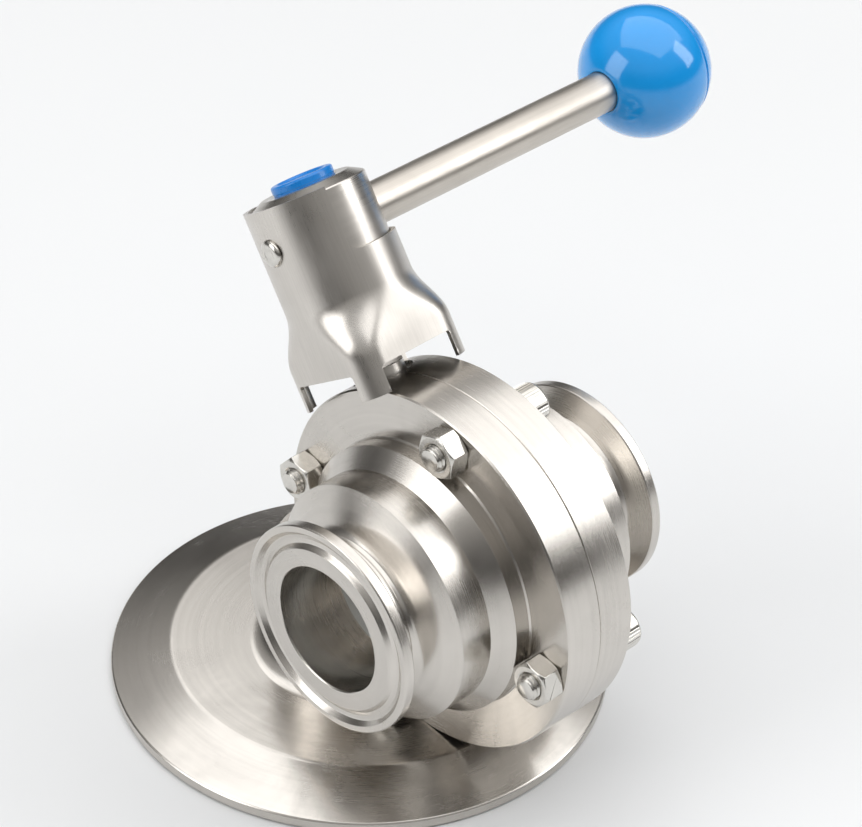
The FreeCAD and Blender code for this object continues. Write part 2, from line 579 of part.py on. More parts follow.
def foot():
    """The blind ferrule that the valve stands on, and the coped boss that carries the body."""
    flat = "foot_rim + foot_rise"
    keep("foot_ferrule", turned("foot_ferrule", [
        ("0", "0"), ("foot_groove_inner", "0"),
        ("foot_groove_inner + foot_groove_slope", "foot_groove_depth"),
        ("foot_groove_outer - foot_groove_slope", "foot_groove_depth"), ("foot_groove_outer", "0"),
        ("foot_radius - foot_edge", "0"), ("foot_radius", "foot_edge"), ("foot_radius", "foot_rim"),
        ("foot_flat", flat), ("0", flat)], upright=True), AT_FOOT)
    post = rod("boss_post", "boss_radius", "boss_high", ("0", "0", flat))
    toe = "boss_radius + boss_fillet"
    hollow = ring("fillet_round", toe, "boss_fillet", ("0", "0", f"{flat} + boss_fillet"))
    fillet = cut("boss_fillet_ring", rod("fillet_blank", toe, "boss_fillet", ("0", "0", flat)), hollow)
    shape = fresh(joined("boss_whole", post, fillet))
    gap = size("weld_gap")
    for radius, half in (("flange_radius", "flange_thick"), ("collar_radius", "collar_x"),
                         ("barrel_radius", "half_length")):
        half_long = size(half) + gap
        room = Part.makeCylinder(size(radius) + gap, 2 * half_long, Vector(-half_long, 0, 0), Vector(1, 0, 0))
        room.Placement = AT_VALVE.multiply(room.Placement)
        shape = shape.cut(room)
    cone = Part.makeCone(size("collar_radius") + gap, size("barrel_radius") + gap,
                         size("barrel_end - collar_x"), Vector(size("collar_x") + gap, 0, 0), Vector(1, 0, 0))
    nut_half = size("flange_thick + screw_end + cut_margin")
    nut_room = Part.makeCylinder(size("nut_corner + nut_room"), 2 * nut_half, Vector(-nut_half, 0, 0),
                                 Vector(1, 0, 0))
    rooms = [cone, cone.mirror(Vector(), Vector(1, 0, 0))] + ring_of_screws(nut_room)
    for room in rooms:
        room.Placement = AT_VALVE.multiply(room.Placement)
        shape = shape.cut(room)
    biggest = max(shape.Solids, key=lambda solid: solid.Volume)
    shaped("foot_boss", biggest, AT_FOOT)


end_ferrule("inlet_ferrule", -1)
end_ferrule("outlet_ferrule", 1)
body_half("inlet_body", -1)
body_half("outlet_body", 1)
seat("inlet_seat", -1)
seat("outlet_seat", 1)
body_gasket()
flange_fasteners()
valve_ball()
stem()
stem_seals()
stem_top_fixings()
handle_spring()
handle_block()
handle_sleeve()
handle_bar()
knob()
cap()
foot()

for piece, place in PARTS.values():
    piece.Placement = place.multiply(piece.Placement)
DOC.recompute()

for item in DOC.Objects:
    if any(state in ("Invalid", "Error") for state in item.State):
        raise RuntimeError(f"{item.Label} failed: {item.State}")
os.makedirs("parts", exist_ok=True)
for label, (piece, place) in PARTS.items():
    shape = piece.Shape
    if shape.isNull() or not shape.isValid() or not shape.Solids:
        raise RuntimeError(f"{label} has no valid solid")
    shape.exportStep(f"parts/{label}.step")
    print(f"{label}: {len(shape.Solids)} solid(s), {shape.Volume:.1f} mm3")
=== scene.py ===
import json
import math
import bpy
from mathutils import Matrix, Vector


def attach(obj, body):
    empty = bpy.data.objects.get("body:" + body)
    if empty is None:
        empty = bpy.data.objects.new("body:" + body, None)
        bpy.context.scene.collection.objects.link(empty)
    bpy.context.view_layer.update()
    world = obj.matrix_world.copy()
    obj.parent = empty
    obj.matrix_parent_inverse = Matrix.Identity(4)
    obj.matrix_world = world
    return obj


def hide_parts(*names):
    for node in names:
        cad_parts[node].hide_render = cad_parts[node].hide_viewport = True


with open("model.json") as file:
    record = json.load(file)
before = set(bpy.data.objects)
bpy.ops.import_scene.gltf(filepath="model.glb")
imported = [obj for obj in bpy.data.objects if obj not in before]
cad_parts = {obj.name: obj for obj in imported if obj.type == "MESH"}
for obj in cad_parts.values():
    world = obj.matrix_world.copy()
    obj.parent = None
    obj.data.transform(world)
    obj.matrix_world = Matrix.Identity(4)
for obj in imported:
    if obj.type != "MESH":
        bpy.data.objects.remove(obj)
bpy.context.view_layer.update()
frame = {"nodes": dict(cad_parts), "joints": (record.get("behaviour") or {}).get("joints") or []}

MM = 0.001

turn_joint = next(joint for joint in frame["joints"] if joint["name"] == "handle_turn")
lift_joint = next(joint for joint in frame["joints"] if joint["name"] == "handle_lift")
CENTRE = Vector(turn_joint["pos_m"])
STEM_AXIS = Vector(turn_joint["axis"])
STEM_ROLL = math.atan2(STEM_AXIS.y, STEM_AXIS.z)
RAISED = -lift_joint["range_m"][0]
AT_VALVE = Matrix.Translation(CENTRE) @ Matrix.Rotation(-STEM_ROLL, 4, "X")
AT_HANDLE = AT_VALVE @ Matrix.Translation((0, 0, RAISED))
AT_FOOT = Matrix.Identity(4)


# ---------------------------------------------------------------- modelling by hand

def deselect():
    bpy.ops.object.select_all(action="DESELECT")


def edit(piece):
    """Make one piece the only one selected, and go into edit mode on all of it."""
    deselect()
    piece.select_set(True)
    bpy.context.view_layer.objects.active = piece
    bpy.ops.object.mode_set(mode="EDIT")
    bpy.ops.mesh.select_mode(type="VERT")
    bpy.ops.mesh.select_all(action="SELECT")


def leave_edit():
    bpy.ops.object.mode_set(mode="OBJECT")


def choose_edges(piece, wanted):
    """In edit mode, select the edges that a test on their two ends accepts."""
    bpy.ops.mesh.select_all(action="DESELECT")
    bpy.ops.mesh.select_mode(type="EDGE")
    leave_edit()
    vertices = piece.data.vertices
    for edge in piece.data.edges:
        a, b = (vertices[index].co for index in edge.vertices)
        edge.select = wanted(a, b)
    bpy.ops.object.mode_set(mode="EDIT")


def arc(centre, radius, start, end, steps=6):
    """Corners along a round stretch of an outline, between two angles in degrees."""
    angles = [math.radians(start + (end - start) * step / steps) for step in range(steps + 1)]
    return [(centre[0] + radius * math.cos(angle), centre[1] + radius * math.sin(angle)) for angle in angles]


def turned(name, outline, about="X", steps=160, closed=True):
    """Draw an outline, in millimetres, by pulling out one corner after another, and spin it.

    About X its corners are (place along the axis, radius); about Z they are (radius, height).
    """
    spots = [Vector((a, 0, b)) * MM for a, b in outline]
    if closed:
        spots.append(spots[0])
    deselect()
    bpy.ops.mesh.primitive_plane_add(size=MM)
    piece = bpy.context.object
    piece.name = name
    bpy.ops.object.mode_set(mode="EDIT")
    bpy.ops.mesh.select_mode(type="VERT")
    bpy.ops.mesh.merge(type="CENTER")
    bpy.ops.transform.translate(value=spots[0])
    for before, after in zip(spots, spots[1:]):
        bpy.ops.mesh.extrude_region_move(TRANSFORM_OT_translate={"value": after - before})
    bpy.ops.mesh.select_all(action="SELECT")
    axis = (1, 0, 0) if about == "X" else (0, 0, 1)
    bpy.ops.mesh.spin(steps=steps, angle=math.tau, center=(0, 0, 0), axis=axis)
    tidy_mesh()
    leave_edit()
    return piece


def tidy_mesh():
    """In edit mode, merge doubled vertices and point every face outwards."""
    bpy.ops.mesh.select_all(action="SELECT")
    bpy.ops.mesh.remove_doubles(threshold=0.001 * MM)
    bpy.ops.mesh.normals_make_consistent(inside=False)


def prism(name, sides, radius, low, high):
    """A closed prism along X between two places, in millimetres."""
    deselect()
    bpy.ops.mesh.primitive_cylinder_add(vertices=sides, radius=radius * MM, depth=(high - low) * MM,
                                        location=((low + high) / 2 * MM, 0, 0),
                                        rotation=(0, math.pi / 2, 0))
    bpy.ops.object.transform_apply(location=True, rotation=True, scale=True)
    piece = bpy.context.object
    piece.name = name
    return piece


def box(name, low, high):
    """A block between two corners, in millimetres."""
    middle = [(a + b) / 2 * MM for a, b in zip(low, high)]
    deselect()
    bpy.ops.mesh.primitive_cube_add(size=1, location=middle, scale=[(b - a) * MM for a, b in zip(low, high)])
    bpy.ops.object.transform_apply(location=True, rotation=True, scale=True)
    piece = bpy.context.object
    piece.name = name
    return piece


def use_modifier(piece, kind, **settings):
    """Add a modifier, set it and apply it."""
    deselect()
    piece.select_set(True)
    bpy.context.view_layer.objects.active = piece
    modifier = piece.modifiers.new(kind.lower(), kind)
    for name, value in settings.items():
        setattr(modifier, name, value)
    bpy.ops.object.modifier_apply(modifier=modifier.name)


def combine(piece, tool, operation="DIFFERENCE"):
    """Cut the tool out of the piece, or keep or join what they share, and throw the tool away."""
    use_modifier(piece, "BOOLEAN", object=tool, operation=operation, solver="EXACT")
    bpy.data.objects.remove(tool)


def soften(piece, width, segments=2, sharper_than=25):
    """Round a piece's sharp edges by a width in millimetres, and shade it smooth between them."""
    use_modifier(piece, "BEVEL", width=width * MM, segments=segments, limit_method="ANGLE",
                 angle_limit=math.radians(sharper_than), use_clamp_overlap=True)
    shade(piece)
    use_modifier(piece, "WEIGHTED_NORMAL", keep_sharp=True)


def shade(piece, angle=40):
    deselect()
    piece.select_set(True)
    bpy.context.view_layer.objects.active = piece
    bpy.ops.object.shade_smooth_by_angle(angle=math.radians(angle))


def copied(piece, name):
    """A copy of a piece with a mesh of its own."""
    copy = piece.copy()
    copy.data = piece.data.copy()
    copy.name = name
    bpy.context.scene.collection.objects.link(copy)
    return copy


def merged(name, pieces):
    """Join pieces that are the same kind of fastener into one piece."""
    deselect()
    for piece in pieces:
        piece.select_set(True)
    bpy.context.view_layer.objects.active = pieces[0]
    bpy.ops.object.join()
    pieces[0].name = name
    return pieces[0]


def settle(piece, place, body, slot, material, *nodes):
    """Put a piece in place, give it its material, hang it on the body it rides on, and hide the parts it
    stands for.
    """
    bpy.context.view_layer.update()
    piece.matrix_world = place @ piece.matrix_world
    deselect()
    piece.select_set(True)
    bpy.context.view_layer.objects.active = piece
    bpy.ops.object.transform_apply(location=True, rotation=True, scale=True)
    piece.data.materials.clear()
    piece.data.materials.append(material)
    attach(piece, body)
    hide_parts(*nodes)


# ---------------------------------------------------------------- shader groups

def add_node(tree, kind, **settings):
    """A node with its attributes and its inputs' constants set."""
    node = tree.nodes.new(kind)
    for name, value in settings.items():
        if name in node.inputs:
            node.inputs[name].default_value = value
        elif hasattr(node, name):
            setattr(node, name, value)
        else:
            raise ValueError(f"{kind} has no {name}")
    return node


def calc(tree, operation, first, second=None):
    """A Math node on sockets or numbers, returned as its output."""
    node = tree.nodes.new("ShaderNodeMath")
    node.operation = operation
    for socket, value in zip(node.inputs, (first, second)):
        if value is None:
            continue
        if isinstance(value, (int, float)):
            socket.default_value = value
        else:
            tree.links.new(value, socket)
    return node.outputs[0]


def spread(tree, value, low, high, to_low, to_high):
    """Map a range of values onto another, held at its ends."""
    node = tree.nodes.new("ShaderNodeMapRange")
    tree.links.new(value, node.inputs["Value"])
    for name, number in (("From Min", low), ("From Max", high), ("To Min", to_low), ("To Max", to_high)):
        node.inputs[name].default_value = number
    return node.outputs["Result"]


def noise(tree, vector, scale, detail=2.0, rough=0.5):
    node = add_node(tree, "ShaderNodeTexNoise", Scale=scale, Detail=detail, Roughness=rough)
    tree.links.new(vector, node.inputs["Vector"])
    return node.outputs["Fac"]


def effect(name, inputs, outputs):
    """An empty shader group with named inputs and outputs."""
    tree = bpy.data.node_groups.new(name, "ShaderNodeTree")
    for label, kind, value in inputs:
        socket = tree.interface.new_socket(label, in_out="INPUT", socket_type=kind)
        if value is not None:
            socket.default_value = value
    for label in outputs:
        tree.interface.new_socket(label, in_out="OUTPUT", socket_type="NodeSocketFloat")
    return tree, tree.nodes.new("NodeGroupInput"), tree.nodes.new("NodeGroupOutput")


def lathe_lines_group():
    """Fine rings left by a lathe: they change along the axis and outwards, and never round it. Axis X."""
    tree, given, made = effect("lathe_lines", [
        ("Vector", "NodeSocketVector", None), ("Fine", "NodeSocketFloat", 14000.0),
        ("Coarse", "NodeSocketFloat", 3200.0)], ("Height", "Shade"))
    parts = add_node(tree, "ShaderNodeSeparateXYZ")
    tree.links.new(given.outputs["Vector"], parts.inputs[0])
    y_squared = calc(tree, "MULTIPLY", parts.outputs["Y"], parts.outputs["Y"])
    z_squared = calc(tree, "MULTIPLY", parts.outputs["Z"], parts.outputs["Z"])
    radius = calc(tree, "SQRT", calc(tree, "ADD", y_squared, z_squared))
    along = add_node(tree, "ShaderNodeCombineXYZ")
    tree.links.new(parts.outputs["X"], along.inputs["X"])
    tree.links.new(radius, along.inputs["Y"])
    lines = []
    for label, weight in (("Fine", 0.6), ("Coarse", 0.4)):
        texture = add_node(tree, "ShaderNodeTexNoise", noise_dimensions="2D", Detail=2.0)
        tree.links.new(along.outputs[0], texture.inputs["Vector"])
        tree.links.new(given.outputs[label], texture.inputs["Scale"])
        lines.append(calc(tree, "MULTIPLY", texture.outputs["Fac"], weight))
    tree.links.new(calc(tree, "ADD", *lines), made.inputs["Height"])
    broad = noise(tree, along.outputs[0], 700.0, 4.0)
    tree.links.new(broad, made.inputs["Shade"])
    return tree


def drawn_grain_group():
    """Long fine scratches along X, as brushing or drawing leaves them."""
    tree, given, made = effect("drawn_grain", [
        ("Vector", "NodeSocketVector", None), ("Across", "NodeSocketFloat", 11000.0),
        ("Along", "NodeSocketFloat", 160.0)], ("Height", "Shade"))
    parts = add_node(tree, "ShaderNodeSeparateXYZ")
    tree.links.new(given.outputs["Vector"], parts.inputs[0])
    stretched = add_node(tree, "ShaderNodeCombineXYZ")
    tree.links.new(calc(tree, "MULTIPLY", parts.outputs["X"], given.outputs["Along"]), stretched.inputs["X"])
    for axis in "YZ":
        tree.links.new(calc(tree, "MULTIPLY", parts.outputs[axis], given.outputs["Across"]),
                       stretched.inputs[axis])
    tree.links.new(noise(tree, stretched.outputs[0], 1.0, 3.0, 0.6), made.inputs["Height"])
    tree.links.new(noise(tree, stretched.outputs[0], 0.3, 3.0), made.inputs["Shade"])
    return tree


def handling_marks_group():
    """Cloudy smears and a few specks that handling and drying water leave on steel."""
    tree, given, made = effect("handling_marks", [
        ("Vector", "NodeSocketVector", None), ("Smear Size", "NodeSocketFloat", 45.0),
        ("Speck Size", "NodeSocketFloat", 700.0)], ("Smear", "Speck"))
    smear = add_node(tree, "ShaderNodeTexNoise", Detail=4.0, Roughness=0.62, Distortion=0.6)
    tree.links.new(given.outputs["Vector"], smear.inputs["Vector"])
    tree.links.new(given.outputs["Smear Size"], smear.inputs["Scale"])
    tree.links.new(spread(tree, smear.outputs["Fac"], 0.38, 0.68, 0.0, 1.0), made.inputs["Smear"])
    speck = add_node(tree, "ShaderNodeTexVoronoi", feature="F1")
    tree.links.new(given.outputs["Vector"], speck.inputs["Vector"])
    tree.links.new(given.outputs["Speck Size"], speck.inputs["Scale"])
    dots = spread(tree, speck.outputs["Distance"], 0.05, 0.12, 1.0, 0.0)
    chance = spread(tree, noise(tree, given.outputs["Vector"], 300.0), 0.62, 0.7, 0.0, 1.0)
    tree.links.new(calc(tree, "MULTIPLY", dots, chance), made.inputs["Speck"])
    return tree


LATHE_LINES = lathe_lines_group()
DRAWN_GRAIN = drawn_grain_group()
HANDLING_MARKS = handling_marks_group()


# ---------------------------------------------------------------- materials

def place_pattern(tree, origin, turn):
    """Object coordinates for a pattern that starts at a point, with its X axis turned by `turn`."""
    coordinates = add_node(tree, "ShaderNodeTexCoord")
    mapping = add_node(tree, "ShaderNodeMapping", vector_type="TEXTURE")
    mapping.inputs["Location"].default_value = origin
    mapping.inputs["Rotation"].default_value = turn
    tree.links.new(coordinates.outputs["Object"], mapping.inputs["Vector"])
    return mapping.outputs["Vector"]


def along_x_to(direction):
    """The Euler angles that turn X to a direction."""
    return Vector((1, 0, 0)).rotation_difference(Vector(direction)).to_euler()


def steel(name, pattern, origin, direction, colour, rough, grain_depth, smear=0.06, anisotropic=0.0,
          tangent_axis=None, dull=0.10, group_inputs=None):
    """Stainless steel: a machined pattern with handling marks over it."""
    material = bpy.data.materials.new(name)
    material.use_nodes = True
    tree = material.node_tree
    shader = tree.nodes["Principled BSDF"]
    shader.inputs["Metallic"].default_value = 1.0
    shader.inputs["Anisotropic"].default_value = anisotropic
    where = place_pattern(tree, origin, along_x_to(direction))
    lines = add_node(tree, "ShaderNodeGroup", node_tree=pattern)
    for label, value in (group_inputs or {}).items():
        lines.inputs[label].default_value = value
    tree.links.new(where, lines.inputs["Vector"])
    marks = add_node(tree, "ShaderNodeGroup", node_tree=HANDLING_MARKS)
    tree.links.new(where, marks.inputs["Vector"])

    tone = spread(tree, lines.outputs["Shade"], 0.3, 0.7, 0.96, 1.04)
    smeared = calc(tree, "MULTIPLY", tone, spread(tree, marks.outputs["Smear"], 0.0, 1.0, 1.0, 1.0 - smear))
    speckled = calc(tree, "MULTIPLY", smeared, spread(tree, marks.outputs["Speck"], 0.0, 1.0, 1.0, 0.8))
    tint = add_node(tree, "ShaderNodeVectorMath", operation="SCALE")
    tint.inputs[0].default_value = colour
    tree.links.new(speckled, tint.inputs["Scale"])
    tree.links.new(tint.outputs[0], shader.inputs["Base Color"])

    varied = spread(tree, lines.outputs["Height"], 0.3, 0.7, rough * 0.88, rough * 1.14)
    roughness = calc(tree, "ADD", varied, calc(tree, "MULTIPLY", marks.outputs["Smear"], dull))
    tree.links.new(roughness, shader.inputs["Roughness"])
    bump = add_node(tree, "ShaderNodeBump", Strength=1.0, Distance=grain_depth * MM)
    tree.links.new(lines.outputs["Height"], bump.inputs["Height"])
    tree.links.new(bump.outputs["Normal"], shader.inputs["Normal"])
    if tangent_axis:
        tangent = add_node(tree, "ShaderNodeTangent", direction_type="RADIAL", axis=tangent_axis)
        tree.links.new(tangent.outputs["Tangent"], shader.inputs["Tangent"])
    return material


def plastic(name, colour, rough, coat, skin_depth, mottle=0.05):
    """Moulded plastic: a faint orange-peel skin and slow changes of tone and gloss."""
    material = bpy.data.materials.new(name)
    material.use_nodes = True
    tree = material.node_tree
    shader = tree.nodes["Principled BSDF"]
    shader.inputs["Coat Weight"].default_value = coat
    shader.inputs["Coat Roughness"].default_value = 0.04
    where = add_node(tree, "ShaderNodeTexCoord").outputs["Object"]
    cloud = noise(tree, where, 90.0, 3.0)
    tint = add_node(tree, "ShaderNodeVectorMath", operation="SCALE")
    tint.inputs[0].default_value = colour
    tree.links.new(spread(tree, cloud, 0.3, 0.7, 1.0 - mottle, 1.0 + mottle), tint.inputs["Scale"])
    tree.links.new(tint.outputs[0], shader.inputs["Base Color"])
    tree.links.new(spread(tree, noise(tree, where, 400.0, 2.0), 0.3, 0.7, rough * 0.8, rough * 1.3),
                   shader.inputs["Roughness"])
    bump = add_node(tree, "ShaderNodeBump", Strength=1.0, Distance=skin_depth * MM)
    tree.links.new(noise(tree, where, 900.0, 3.0), bump.inputs["Height"])
    tree.links.new(bump.outputs["Normal"], shader.inputs["Normal"])
    return material


PIPE = (1, 0, 0)
STEEL = (0.63, 0.60, 0.56)
TURNED_STEEL = steel("turned_steel", LATHE_LINES, CENTRE, PIPE, STEEL, 0.2, 0.0012,
                     anisotropic=0.5, tangent_axis="X")
FOOT_STEEL = steel("foot_steel", LATHE_LINES, (0, 0, 0), (0, 0, 1), STEEL, 0.19, 0.0011, smear=0.1,
                   anisotropic=0.45, tangent_axis="Z", dull=0.1)
BLOCK_STEEL = steel("block_steel", LATHE_LINES, CENTRE, STEM_AXIS, STEEL, 0.27, 0.0015)
SLEEVE_STEEL = steel("sleeve_steel", DRAWN_GRAIN, CENTRE, STEM_AXIS, STEEL, 0.27, 0.0016, smear=0.05)
BAR_STEEL = steel("bar_steel", DRAWN_GRAIN, CENTRE, PIPE, (0.58, 0.54, 0.49), 0.3, 0.0015)
FASTENER_STEEL = steel("fastener_steel", DRAWN_GRAIN, CENTRE, PIPE, (0.68, 0.66, 0.62), 0.18, 0.002,
                       group_inputs={"Across": 2500.0, "Along": 1200.0})
INNER_STEEL = steel("inner_steel", LATHE_LINES, CENTRE, STEM_AXIS, STEEL, 0.3, 0.003)
POLISHED_STEEL = steel("polished_steel", LATHE_LINES, CENTRE, PIPE, (0.72, 0.7, 0.67), 0.08, 0.0005,
                       dull=0.05)
INSERT_BRASS = steel("insert_brass", LATHE_LINES, CENTRE, PIPE, (0.72, 0.52, 0.24), 0.3, 0.003)
KNOB_BLUE = plastic("knob_blue", (0.008, 0.34, 0.86), 0.14, 0.6, 0.0012, mottle=0.03)
CAP_BLUE = plastic("cap_blue", (0.006, 0.22, 0.68), 0.3, 0.2, 0.004)
PTFE = plastic("ptfe", (0.86, 0.87, 0.85), 0.42, 0.0, 0.003, mottle=0.03)
SEAL_RUBBER = plastic("seal_rubber", (0.02, 0.02, 0.021), 0.55, 0.0, 0.006)


# ---------------------------------------------------------------- valve body

BORE = 15.2
FACE = 40.5
WELD = 33.2
NECK = 19.3
FLANGE_RADIUS, FLANGE_THICK = 44.4, 10.0
COLLAR_RADIUS, COLLAR_END = 32.7, 14.3
BARREL_RADIUS, BARREL_END = 28.6, 18.1
SHOULDER_END = 26.5
NECK_ROOT = 30.5
EDGE = 0.3
RIM_RADIUS, RIM_WIDE = 25.25, 2.8
GROOVE_RADIUS, GROOVE_DEEP = 21.6, 1.4
CAVITY_RADIUS, CAVITY_HALF = 23.5, 14.0
SEAT_RADIUS, SEAT_BACK = 21.5, 22.9
STEM_POCKET, STEM_POCKET_TOP = 8.5, 29
BUSH_RADIUS = 7.25
SEAM_GAP = 0.03


def on_side(side, outline):
    return [(side * x, radius) for x, radius in outline]


def end_ferrule(name, side):
    """The clamp ferrule: gasket groove with round lips, thin rim, back sloping down to the neck."""
    outline = [(WELD, BORE), (FACE - EDGE, BORE), (FACE, BORE + EDGE)]
    lip = [(0, 2.0), (0.5, 1.6), (1.15, 1.0)]
    outline += [(FACE - deep, GROOVE_RADIUS - away) for deep, away in lip]
    outline += [(FACE - GROOVE_DEEP, GROOVE_RADIUS)]
    outline += [(FACE - deep, GROOVE_RADIUS + away) for deep, away in reversed(lip)]
    outline += [(FACE, RIM_RADIUS - EDGE), (FACE - EDGE, RIM_RADIUS)]
    outline += [(FACE - RIM_WIDE + EDGE, RIM_RADIUS), (FACE - RIM_WIDE, RIM_RADIUS - EDGE)]
    outline += [(FACE - 4.6, NECK + 0.9), (FACE - 5.1, NECK + 0.25), (FACE - 5.9, NECK), (WELD + 0.25, NECK),
                (WELD, NECK + 0.12)]
    piece = turned(name, on_side(side, outline))
    soften(piece, 0.1)
    settle(piece, AT_VALVE, "root", "turned_steel", TURNED_STEEL, name.replace("_turned", ""))


def body_half(name, side):
    """Neck, sloping shoulder, barrel, collar and flange, hollow for the ball and open for the stem."""
    outline = [(WELD, BORE), (WELD, NECK + 0.12), (WELD - 0.25, NECK), (32.6, NECK)]
    outline += [(31.9, NECK + 0.15), (31.2, NECK + 0.7), (NECK_ROOT, 21.0)]
    outline += [(SHOULDER_END, BARREL_RADIUS), (BARREL_END, BARREL_RADIUS), (COLLAR_END, COLLAR_RADIUS)]
    outline += [(FLANGE_THICK + 0.35, COLLAR_RADIUS), (FLANGE_THICK, COLLAR_RADIUS + 0.35)]
    outline += [(FLANGE_THICK, FLANGE_RADIUS - 0.35), (FLANGE_THICK - 0.35, FLANGE_RADIUS)]
    outline += [(0.22, FLANGE_RADIUS), (SEAM_GAP, FLANGE_RADIUS - EDGE), (SEAM_GAP, CAVITY_RADIUS)]
    outline += [(CAVITY_HALF, CAVITY_RADIUS), (CAVITY_HALF, SEAT_RADIUS), (SEAT_BACK, SEAT_RADIUS)]
    outline += [(SEAT_BACK, BORE)]
    piece = turned(name, on_side(side, outline), steps=192)
    combine(piece, stem_hole())
    soften(piece, 0.12)
    settle(piece, AT_VALVE, "root", "turned_steel", TURNED_STEEL, name.replace("_turned", ""))


def stem_hole():
    """The bored way up through both flanges for the stem and its bush."""
    low, high = 5, 50
    outline = [(0, low), (STEM_POCKET, low), (STEM_POCKET, STEM_POCKET_TOP)]
    outline += [(BUSH_RADIUS, STEM_POCKET_TOP), (BUSH_RADIUS, high), (0, high)]
    return turned("stem_hole", outline, about="Z", steps=64, closed=False)


# ---------------------------------------------------------------- flange fasteners

SCREW_CIRCLE = 38.6
SCREW_RADIUS = 3.0
SCREW_TAIL = FLANGE_THICK + 6.9
THREAD_PITCH = 1.0
SCREW_ANGLES = [45, 135, 225, 315]
HEAD_RADIUS, HEAD_HIGH = 5.0, 6.0
SOCKET_RADIUS, SOCKET_DEEP = 2.89, 3.0
NUT_RADIUS, NUT_HIGH, NUT_FACE = 5.77, 5.2, 4.75
PRESSED = 0.02


def around_pipe(piece, name, spins=(0, 0, 0, 0)):
    """Copies of a fastener made on the pipe axis, one at each screw place, each turned a little on itself."""
    copies = []
    for angle, spin in zip(SCREW_ANGLES, spins):
        copy = copied(piece, name)
        copy.matrix_world = (Matrix.Rotation(math.radians(angle), 4, "X")
                             @ Matrix.Translation((0, SCREW_CIRCLE * MM, 0))
                             @ Matrix.Rotation(math.radians(spin), 4, "X"))
        deselect()
        copy.select_set(True)
        bpy.context.view_layer.objects.active = copy
        bpy.ops.object.transform_apply(location=True, rotation=True, scale=True)
        copies.append(copy)
    bpy.data.objects.remove(piece)
    return merged(name, copies)


def flange_nuts():
    """Hexagon nuts, chamfered on both faces, with a countersunk thread."""
    low, high = -FLANGE_THICK - NUT_HIGH, -FLANGE_THICK - PRESSED
    nut = prism("nut", 6, NUT_RADIUS, low, high)
    chamfer, beyond = 0.62, 5.8
    outline = [(low, 0), (low, NUT_FACE), (low + chamfer, beyond), (high - chamfer, beyond), (high, NUT_FACE)]
    crown = turned("nut_crown", outline + [(high, 0)], closed=False, steps=72)
    combine(nut, crown, "INTERSECT")
    thread, mouth = 2.85, 4.3
    outline = [(low - 1, 0), (low - 1, mouth), (low, 3.5), (low + 0.5, thread), (high - 0.5, thread)]
    hole = turned("nut_hole", outline + [(high + 1, mouth), (high + 1, 0)], closed=False, steps=48)
    combine(nut, hole)
    soften(nut, 0.12, sharper_than=20)
    nuts = around_pipe(nut, "flange_nuts_hex", (1.5, -2.0, 0.5, 2.5))
    settle(nuts, AT_VALVE, "root", "fastener_steel", FASTENER_STEEL, "flange_nuts")


def flange_screws():
    """Socket screws: rolled thread with a rough-cut end, ribbed head and hexagon socket."""
    tail, neck, top = -SCREW_TAIL, FLANGE_THICK + PRESSED, FLANGE_THICK + HEAD_HIGH
    crest, root = SCREW_RADIUS - 0.03, SCREW_RADIUS - 0.42
    outline = [(tail, 0), (tail, 1.9), (tail + 0.08, 2.05), (tail + 0.12, root - 0.15), (tail + 0.35, root)]
    at = tail + 0.5
    while at < -FLANGE_THICK:
        outline += [(at, root), (at + 0.4, crest), (at + 0.5, crest), (at + 0.9, root)]
        at += THREAD_PITCH
    outline += [(-FLANGE_THICK + 1.2, crest), (neck, crest), (neck, HEAD_RADIUS - 0.25)]
    between_ribs = HEAD_RADIUS - 0.12
    outline += [(neck + 0.25, between_ribs), (neck + 0.6, between_ribs), (top - 0.9, between_ribs)]
    outline += [(top - 0.45, HEAD_RADIUS - 0.25), (top - 0.12, HEAD_RADIUS - 0.65)]
    outline += [(top, 4.0), (top, 0)]
    screw = turned("screw", outline, steps=48, closed=False)
    socket = prism("hex_socket", 6, SOCKET_RADIUS, top - SOCKET_DEEP, top + 1)
    combine(screw, socket)
    soften(screw, 0.05, sharper_than=35)
    ribs, rib_centre, rib_radius = 40, 4.68, 0.3
    rib_low, rib_high = neck + 0.6, top - 0.9
    pieces = [screw]
    for number in range(ribs):
        rib = prism("rib", 3, rib_radius, rib_low, rib_high)
        rib.matrix_world = (Matrix.Rotation(math.tau * number / ribs, 4, "X")
                            @ Matrix.Translation((0, 0, rib_centre * MM)))
        pieces.append(rib)
    screw = merged("screw_ribbed", pieces)
    screws = around_pipe(screw, "flange_screws_socket", (12, 40, -21, 4))
    settle(screws, AT_VALVE, "root", "fastener_steel", FASTENER_STEEL, "flange_screws")


# ---------------------------------------------------------------- handle

BAR_HEIGHT = 73.4
BAR_RADIUS = 5.0
BLOCK_RADIUS, BLOCK_LOW, BLOCK_TOP = 13.7, 56.0, 84.0
SLEEVE_RADIUS, SLEEVE_WALL = 15.1, 1.1
SLEEVE_TOP, SLEEVE_CUT, SLEEVE_LOW = 83.0, 67.6, 36.4
ROUND_END, SQUARE_START = 58.5, 46.0
SQUARE_HALF, SQUARE_CORNER = 15.4, 6.3
CUT_X = -5.2
WINDOW_HALF, WINDOW_TOP = 10.3, 42.6
KNOB_CENTRE, KNOB_RADIUS, KNOB_FACE, KNOB_SEAM = 105.75, 16.2, 5.6, 6.5
INSERT_RADIUS, INSERT_INSET, INSERT_DEEP = 6.0, 0.8, 14.0
SPRING_WELL, SPIGOT_RADIUS, BAR_SEAT = 7.4, 4.0, 11.5
RIVET_RADIUS = 2.0


